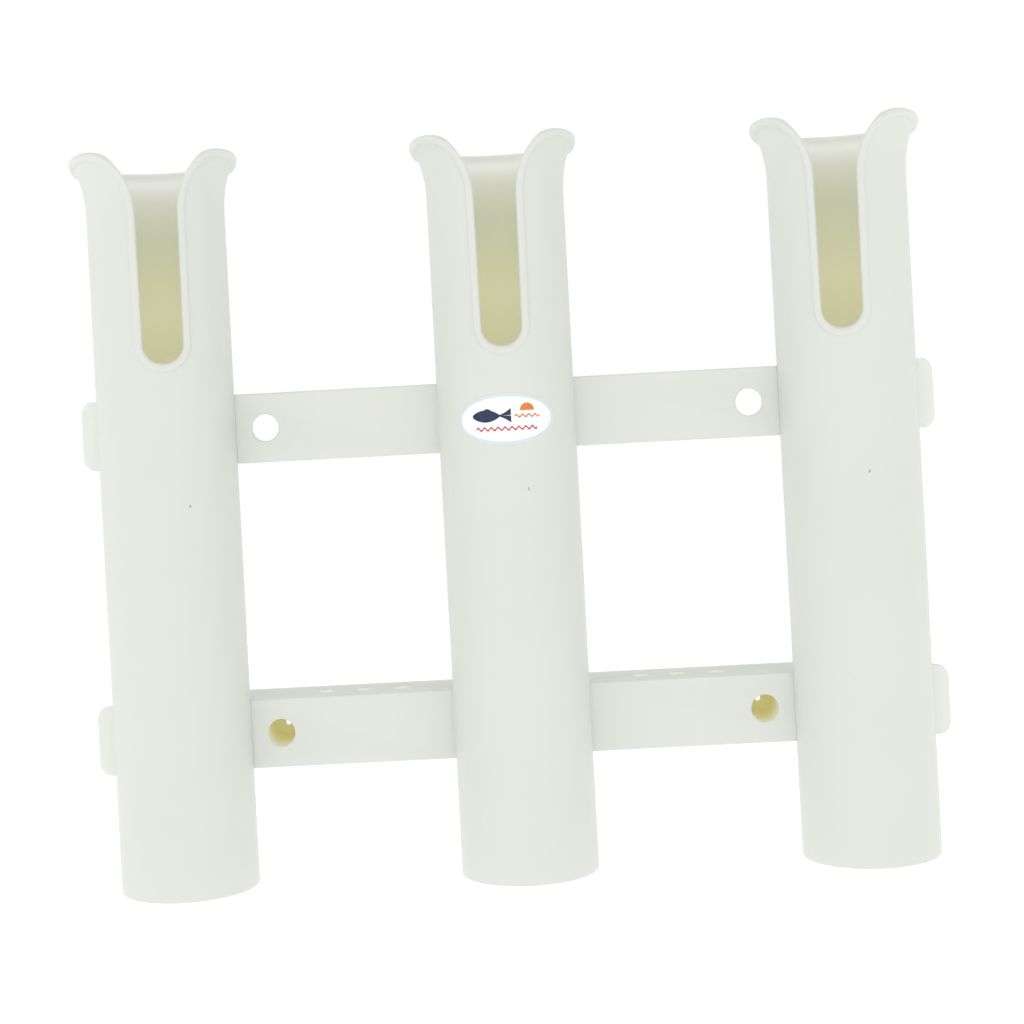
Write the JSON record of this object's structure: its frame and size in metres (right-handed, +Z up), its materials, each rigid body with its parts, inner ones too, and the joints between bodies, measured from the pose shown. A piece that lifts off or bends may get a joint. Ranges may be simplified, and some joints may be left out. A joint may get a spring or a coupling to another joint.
{
  "type": "rod holder",
  "caption": "Wall-mounted fishing rod rack: slotted vertical tubes with flared mouths, held side by side by an upper and a lower moulded rail with mounting holes.",
  "frame": {"origin": "middle of the four mounting holes, in the plane of the rails' front faces", "axes": "+Z up along the tubes, -Y to the front, where the reel slots are, +X to the right of someone facing the front"},
  "size_m": [0.3122, 0.057, 0.268],
  "materials": {
    "white_plastic": "satin moulded polypropylene, warm off-white",
    "stainless_steel": "plain stainless steel",
    "label_film": "printed gloss vinyl film"
  },
  "bodies": {
    "root": {"left_tube": "white_plastic", "middle_tube": "white_plastic", "right_tube": "white_plastic", "upper_rail": "white_plastic", "lower_rail": "white_plastic", "left_upper_screws": "stainless_steel", "middle_upper_screws": "stainless_steel", "right_upper_screws": "stainless_steel", "left_lower_screws": "stainless_steel", "middle_lower_screws": "stainless_steel", "right_lower_screws": "stainless_steel", "label": "label_film"}
  },
  "joints": []
}
